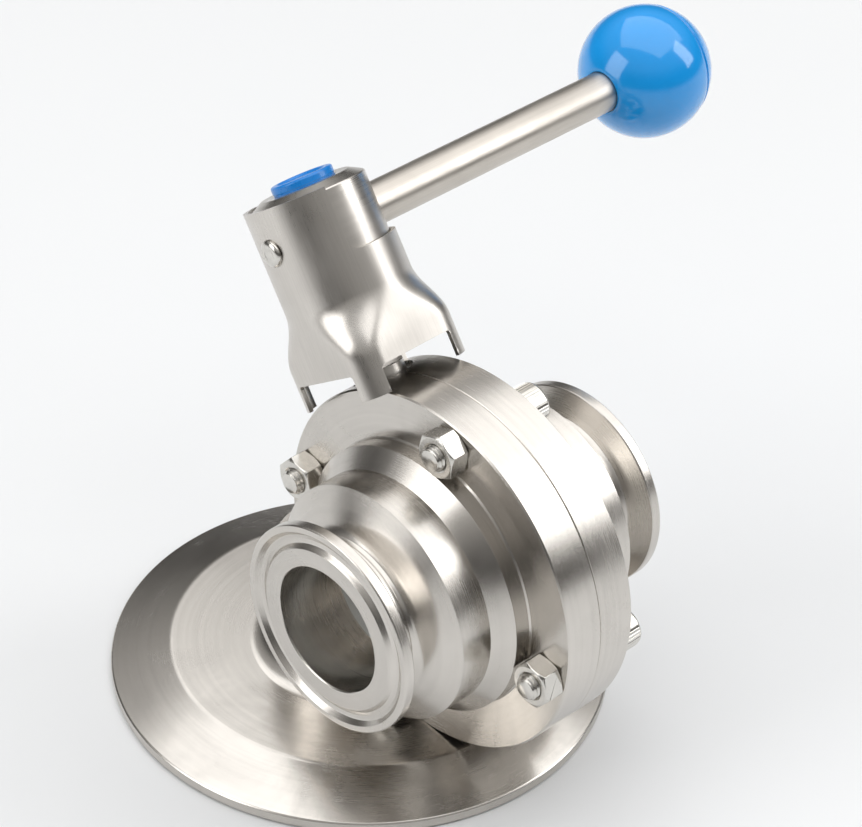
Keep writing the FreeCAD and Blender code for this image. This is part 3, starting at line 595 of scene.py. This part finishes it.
def section_radius(angle, half, corner):
    """How far out a rounded square reaches, towards an angle."""
    angle = abs((angle + math.pi / 4) % (math.pi / 2) - math.pi / 4)
    reach = half - corner
    if half * math.tan(angle) <= reach:
        return half / math.cos(angle)
    cosine = math.cos(angle - math.pi / 4) * reach * math.sqrt(2)
    return cosine + math.sqrt(cosine ** 2 - 2 * reach ** 2 + corner ** 2)


def sleeve():
    """The pressed sleeve: round above, drawn out to a rounded square below, with four windows."""
    high, low = SLEEVE_TOP * MM, SLEEVE_LOW * MM
    deselect()
    bpy.ops.mesh.primitive_cylinder_add(vertices=192, radius=SLEEVE_RADIUS * MM, depth=high - low,
                                        location=(0, 0, (high + low) / 2), end_fill_type="NOTHING")
    piece = bpy.context.object
    piece.name = "sleeve_pressed"
    bpy.ops.object.transform_apply(location=True, rotation=True, scale=True)
    edit(piece)
    rings = 26
    for ring in range(1, rings):
        height = SLEEVE_LOW + (ROUND_END + 1 - SLEEVE_LOW) * ring / rings
        bpy.ops.mesh.select_all(action="SELECT")
        bpy.ops.mesh.bisect(plane_co=(0, 0, height * MM), plane_no=(0, 0, 1))
    leave_edit()
    for vertex in piece.data.vertices:
        height = vertex.co.z / MM
        blend = min(max((ROUND_END - height) / (ROUND_END - SQUARE_START), 0), 1)
        blend = blend * blend * (3 - 2 * blend)
        half = SLEEVE_RADIUS + (SQUARE_HALF - SLEEVE_RADIUS) * blend
        corner = SLEEVE_RADIUS - 0.02 + (SQUARE_CORNER - SLEEVE_RADIUS) * blend
        angle = math.atan2(vertex.co.y, vertex.co.x)
        radius = section_radius(angle, half, corner) * MM
        vertex.co.x, vertex.co.y = radius * math.cos(angle), radius * math.sin(angle)
    edit(piece)
    bpy.ops.mesh.normals_make_consistent(inside=False)
    leave_edit()
    use_modifier(piece, "SOLIDIFY", thickness=SLEEVE_WALL * MM, offset=-1, use_even_offset=True)
    opening = box("sleeve_opening", (CUT_X, -30, SLEEVE_CUT), (30, 30, SLEEVE_TOP + 5))
    round_edge(opening, 3.0, lambda a, b: max(a.x, b.x) < 0 and max(a.z, b.z) < SLEEVE_CUT * MM + 1e-6)
    combine(piece, opening)
    for across in (0, 1):
        low_corner = [-30, -30, SLEEVE_LOW - 5]
        high_corner = [30, 30, WINDOW_TOP]
        low_corner[across], high_corner[across] = -WINDOW_HALF, WINDOW_HALF
        window = box("window", low_corner, high_corner)
        top = WINDOW_TOP * MM
        round_edge(window, 0.8, lambda a, b: min(a.z, b.z) > top - 1e-6
                   and abs(a[across] - b[across]) < 1e-6)
        combine(piece, window)
    hole = prism("rivet_hole", 48, RIVET_RADIUS + 0.05, -20, -10)
    hole.location = (0, 0, BAR_HEIGHT * MM)
    combine(piece, hole)
    soften(piece, 0.16, sharper_than=45)
    settle(piece, AT_HANDLE, "handle", "sleeve_steel", SLEEVE_STEEL, "handle_sleeve")


def round_edge(piece, radius, wanted):
    """Round the chosen edges of a cutting block."""
    edit(piece)
    choose_edges(piece, wanted)
    bpy.ops.mesh.bevel(offset=radius * MM, segments=8, affect="EDGES")
    leave_edit()


def handle_block():
    """The block's coned top and round side, with the cap's hole and the bar's hole."""
    outline = [(7.25, BLOCK_TOP), (10.5, BLOCK_TOP), (BLOCK_RADIUS - 0.2, BLOCK_TOP - 1.6)]
    outline += [(BLOCK_RADIUS, BLOCK_TOP - 1.9), (BLOCK_RADIUS, BLOCK_LOW + 0.5)]
    outline += [(BLOCK_RADIUS - 0.5, BLOCK_LOW)]
    square_room, well_floor = 5.7, 63.0
    outline += [(square_room, BLOCK_LOW), (square_room, well_floor), (SPRING_WELL, well_floor)]
    outline += [(SPRING_WELL, BLOCK_TOP - 0.15)]
    piece = turned("block_turned", outline, about="Z")
    seat = prism("bar_hole", 64, BAR_RADIUS + 0.02, BAR_SEAT, 20)
    seat.location = (0, 0, BAR_HEIGHT * MM)
    combine(piece, seat)
    soften(piece, 0.15)
    settle(piece, AT_HANDLE, "handle", "block_steel", BLOCK_STEEL, "handle_block")


def handle_bar():
    """The round bar, stepped down to a spigot at each end."""
    face = KNOB_CENTRE - math.sqrt(KNOB_RADIUS ** 2 - KNOB_FACE ** 2)
    outline = [(8.0, 0), (8.0, SPIGOT_RADIUS - EDGE), (8.0 + EDGE, SPIGOT_RADIUS), (BAR_SEAT, SPIGOT_RADIUS)]
    outline += [(BAR_SEAT, BAR_RADIUS - 0.1), (BAR_SEAT + 0.1, BAR_RADIUS)]
    seat = face + INSERT_INSET - PRESSED
    outline += [(seat - EDGE, BAR_RADIUS), (seat, BAR_RADIUS - EDGE), (seat, SPIGOT_RADIUS)]
    outline += [(seat + 12.5, SPIGOT_RADIUS), (seat + 13.0, SPIGOT_RADIUS - 0.5), (seat + 13.0, 0)]
    piece = turned("bar_drawn", outline, closed=False, steps=96)
    soften(piece, 0.05)
    piece.location.z = BAR_HEIGHT * MM
    settle(piece, AT_HANDLE, "handle", "bar_steel", BAR_STEEL, "handle_bar")


def knob():
    """The ball knob: a shell with a flat where the bar goes in, and an outer end past the seam."""
    flat = math.degrees(math.asin(KNOB_FACE / KNOB_RADIUS))
    seam = math.degrees(math.acos(KNOB_SEAM / KNOB_RADIUS))
    gap = 1.5
    face = KNOB_CENTRE - KNOB_RADIUS * math.cos(math.radians(flat))
    centre = (KNOB_CENTRE, 0)
    lip = KNOB_RADIUS - 0.5
    insert_face, insert_end, socket = face + INSERT_INSET, face + INSERT_INSET + INSERT_DEEP, 6.1
    shell = [(insert_face, BAR_RADIUS + 0.05), (face + 0.12, BAR_RADIUS + 0.1), (face, BAR_RADIUS + 0.3)]
    shell += arc(centre, KNOB_RADIUS, 180 - flat, seam + gap + 1.1, 40)
    shell += arc(centre, lip, seam + gap + 0.5, seam + gap, 1)
    inner = lip - 0.9
    shell += [(KNOB_CENTRE + inner * math.cos(math.radians(seam + gap)),
               inner * math.sin(math.radians(seam + gap)))]
    shell += [(KNOB_CENTRE + KNOB_SEAM - 0.8, socket), (insert_end, socket), (insert_end, INSERT_RADIUS)]
    shell += [(insert_face, INSERT_RADIUS)]
    piece = turned("knob_shell_moulded", shell, steps=128)
    soften(piece, 0.1, sharper_than=35)
    piece.location.z = BAR_HEIGHT * MM
    settle(piece, AT_HANDLE, "handle", "blue_plastic", KNOB_BLUE, "knob_shell")

    outer_seam = seam - 0.2
    end = [(KNOB_CENTRE + KNOB_SEAM + 0.1, 0), (KNOB_CENTRE + KNOB_SEAM + 0.1, 13.9)]
    end += arc(centre, lip, outer_seam, outer_seam - 0.5, 1)
    end += arc(centre, KNOB_RADIUS, outer_seam - 1.4, 0.0, 24)
    piece = turned("knob_end_moulded", end, steps=128, closed=False)
    soften(piece, 0.1, sharper_than=35)
    piece.location.z = BAR_HEIGHT * MM
    settle(piece, AT_HANDLE, "handle", "blue_plastic", KNOB_BLUE, "knob_end")


def cap():
    """The plug in the block's top, with a raised rim round a shallow dish."""
    outline = [(0, 84.5), (6.0, 84.5), (6.0, 81.0), (7.2, 81.0), (7.2, 84.3), (7.35, 84.5), (7.35, 85.55)]
    outline += arc((6.75, 85.6), 0.6, 0, 90, 5)
    outline += [(6.0, 86.2), (5.75, 86.1), (5.45, 85.75), (5.1, 85.68), (0, 85.75)]
    piece = turned("cap_moulded", outline, about="Z", steps=96, closed=False)
    soften(piece, 0.08, sharper_than=30)
    settle(piece, AT_HANDLE, "handle", "cap_blue", CAP_BLUE, "cap_plug")


def rivet():
    """The rivet opposite the bar: a domed head with a flat crown and a set ring."""
    skin = -SLEEVE_RADIUS + 0.08
    outline = [(-8.5, 0), (-8.5, RIVET_RADIUS - 0.2), (-8.7, RIVET_RADIUS), (skin, RIVET_RADIUS)]
    outline += [(skin, 3.1), (skin - 0.3, 3.22), (skin - 0.62, 3.1)]
    outline += [(skin - 0.98, 2.72), (skin - 1.2, 2.2), (skin - 1.26, 1.75), (skin - 1.12, 1.55)]
    outline += [(skin - 1.12, 1.3), (skin - 1.22, 1.15), (skin - 1.24, 0)]
    piece = turned("rivet_domed", outline, closed=False, steps=64)
    shade(piece, 50)
    piece.location.z = BAR_HEIGHT * MM
    settle(piece, AT_HANDLE, "handle", "fastener_steel", FASTENER_STEEL, "sleeve_rivet")


# ---------------------------------------------------------------- foot

FOOT_RADIUS, FOOT_RIM, FOOT_TOP, FOOT_FLAT = 59.7, 2.9, 7.4, 45.4
FOOT_GROOVE = 53.0
BOSS_RADIUS, BOSS_FILLET, BOSS_HIGH = 21.3, 5.2, 28.0


def foot():
    """The clamp ferrule it stands on: gasket groove below, thin rim, turned slope and flat top."""
    groove = [(2.0, 0), (1.75, 0.1), (1.3, 1.1), (0.8, 1.6)]
    outline = [(0, 0)] + [(FOOT_GROOVE - away, deep) for away, deep in groove]
    outline += [(FOOT_GROOVE + away, deep) for away, deep in reversed(groove)]
    outline += [(FOOT_RADIUS - 0.45, 0), (FOOT_RADIUS, 0.45), (FOOT_RADIUS, FOOT_RIM - 0.35)]
    outline += [(FOOT_RADIUS - 0.35, FOOT_RIM), (FOOT_FLAT + 0.6, FOOT_TOP - 0.16)]
    outline += [(FOOT_FLAT - 0.6, FOOT_TOP), (0, FOOT_TOP)]
    piece = turned("foot_turned", outline, about="Z", steps=224, closed=False)
    soften(piece, 0.1, sharper_than=18)
    settle(piece, AT_FOOT, "root", "foot_steel", FOOT_STEEL, "foot_ferrule")


def boss():
    """The post between foot and body, coped to the flanges and barrel that it is welded to."""
    outline = [(0, FOOT_TOP), (BOSS_RADIUS + BOSS_FILLET, FOOT_TOP)]
    outline += arc((BOSS_RADIUS + BOSS_FILLET, FOOT_TOP + BOSS_FILLET), BOSS_FILLET, 265, 180, 10)
    outline += [(BOSS_RADIUS, FOOT_TOP + BOSS_HIGH), (0, FOOT_TOP + BOSS_HIGH)]
    piece = turned("boss_coped", outline, about="Z", steps=128, closed=False)
    gap = 0.05
    room = [(-FACE, 0), (-FACE, BARREL_RADIUS), (-BARREL_END, BARREL_RADIUS)]
    room += [(-COLLAR_END, COLLAR_RADIUS), (-FLANGE_THICK, COLLAR_RADIUS), (-FLANGE_THICK, FLANGE_RADIUS)]
    room = [(x - gap if x > -FACE else x, radius + gap if radius else 0) for x, radius in room]
    room += [(-x, radius) for x, radius in reversed(room)]
    tool = turned("body_room", room, closed=False, steps=192)
    for angle in SCREW_ANGLES:
        nut_room = prism("nut_room", 48, NUT_RADIUS + 0.9, -FLANGE_THICK - 8, FLANGE_THICK + 8)
        nut_room.matrix_world = (Matrix.Rotation(math.radians(angle), 4, "X")
                                 @ Matrix.Translation((0, SCREW_CIRCLE * MM, 0)))
        combine(tool, nut_room, "UNION")
    tool.matrix_world = AT_VALVE
    combine(piece, tool)
    edit(piece)
    bpy.ops.mesh.separate(type="LOOSE")
    leave_edit()
    parts = sorted(bpy.context.selected_objects, key=lambda part: len(part.data.vertices))
    for scrap in parts[:-1]:
        bpy.data.objects.remove(scrap)
    piece = parts[-1]
    piece.name = "boss_coped"
    soften(piece, 0.12)
    settle(piece, AT_FOOT, "root", "foot_steel", FOOT_STEEL, "foot_boss")


# ---------------------------------------------------------------- assembly

for side, end in ((-1, "inlet"), (1, "outlet")):
    end_ferrule(end + "_ferrule_turned", side)
    body_half(end + "_body_turned", side)
flange_nuts()
flange_screws()
sleeve()
handle_block()
handle_bar()
knob()
cap()
rivet()
foot()
boss()

KEPT = {
    "valve_ball": POLISHED_STEEL,
    "stem": INNER_STEEL, "spring_washer": INNER_STEEL, "lift_spring": INNER_STEEL,
    "stem_screw": FASTENER_STEEL, "knob_insert": INSERT_BRASS, "inlet_seat": PTFE, "outlet_seat": PTFE,
    "body_gasket": PTFE, "thrust_washer": PTFE, "stem_bush": PTFE, "stem_o_rings": SEAL_RUBBER,
}
for node, material in KEPT.items():
    for slot in frame["nodes"][node].material_slots:
        slot.material = material


# ---------------------------------------------------------------- floor, light and camera

def floor():
    """A pale sweep of matt board under the valve."""
    deselect()
    bpy.ops.mesh.primitive_plane_add(size=8, location=(0, 0, -0.0002))
    ground = bpy.context.object
    ground.name = "floor"
    material = bpy.data.materials.new("pale_board")
    material.use_nodes = True
    tree = material.node_tree
    shader = tree.nodes["Principled BSDF"]
    where = add_node(tree, "ShaderNodeTexCoord").outputs["Object"]
    tint = add_node(tree, "ShaderNodeVectorMath", operation="SCALE")
    tint.inputs[0].default_value = (0.86, 0.87, 0.88)
    tree.links.new(spread(tree, noise(tree, where, 3.0, 2.0), 0.3, 0.7, 0.985, 1.015), tint.inputs["Scale"])
    tree.links.new(tint.outputs[0], shader.inputs["Base Color"])
    shader.inputs["Roughness"].default_value = 0.6
    shader.inputs["Specular IOR Level"].default_value = 0.1
    ground.data.materials.append(material)


def softbox(name, place, aim, width, height, power, tint=(1, 1, 1)):
    lamp = bpy.data.lights.new(name, "AREA")
    lamp.shape = "RECTANGLE"
    lamp.size = width
    lamp.size_y = height
    lamp.energy = power
    lamp.color = tint
    holder = bpy.data.objects.new(name, lamp)
    holder.location = place
    holder.rotation_euler = (Vector(aim) - Vector(place)).to_track_quat("-Z", "Y").to_euler()
    bpy.context.scene.collection.objects.link(holder)


def studio():
    """A dim room with a dark band low down, so that steel has bright and dark bands to show."""
    world = bpy.data.worlds.new("studio")
    bpy.context.scene.world = world
    world.use_nodes = True
    tree = world.node_tree
    background = tree.nodes["Background"]
    direction = add_node(tree, "ShaderNodeTexCoord").outputs["Generated"]
    parts = add_node(tree, "ShaderNodeSeparateXYZ")
    tree.links.new(direction, parts.inputs[0])
    ramp = add_node(tree, "ShaderNodeValToRGB")
    stops = ramp.color_ramp.elements
    stops[0].position, stops[0].color = 0.0, (0.09, 0.082, 0.075, 1)
    stops[1].position, stops[1].color = 1.0, (0.5, 0.5, 0.5, 1)
    for position, level in ((0.2, 0.06), (0.34, 0.17), (0.55, 0.42)):
        stop = stops.new(position)
        stop.color = (level, level * 0.98, level * 0.95, 1)
    tree.links.new(parts.outputs["Z"], ramp.inputs["Fac"])
    tree.links.new(ramp.outputs["Color"], background.inputs["Color"])
    softbox("top_softbox", (0.25, 0.1, 1.3), (0, 0, 0), 2.0, 1.7, 14.0)
    softbox("left_softbox", (-1.0, 0.35, 0.6), (0, 0, 0.05), 0.7, 0.8, 4.5)
    softbox("right_softbox", (0.85, -0.75, 0.75), (0, 0, 0.05), 0.45, 0.8, 4.0)


def camera():
    """A long lens from above the inlet's left."""
    lens = bpy.data.cameras.new("camera")
    lens.sensor_width = 36.0
    lens.lens = 131.2
    lens.shift_y = 0.012
    holder = bpy.data.objects.new("camera", lens)
    holder.location = (-401.8 * MM, -410.3 * MM, 499.1 * MM)
    holder.rotation_euler = [math.radians(angle) for angle in (53.32, -2.09, -44.30)]
    bpy.context.scene.collection.objects.link(holder)
    bpy.context.scene.camera = holder


floor()
studio()
camera()
bpy.context.scene.view_settings.view_transform = "Standard"
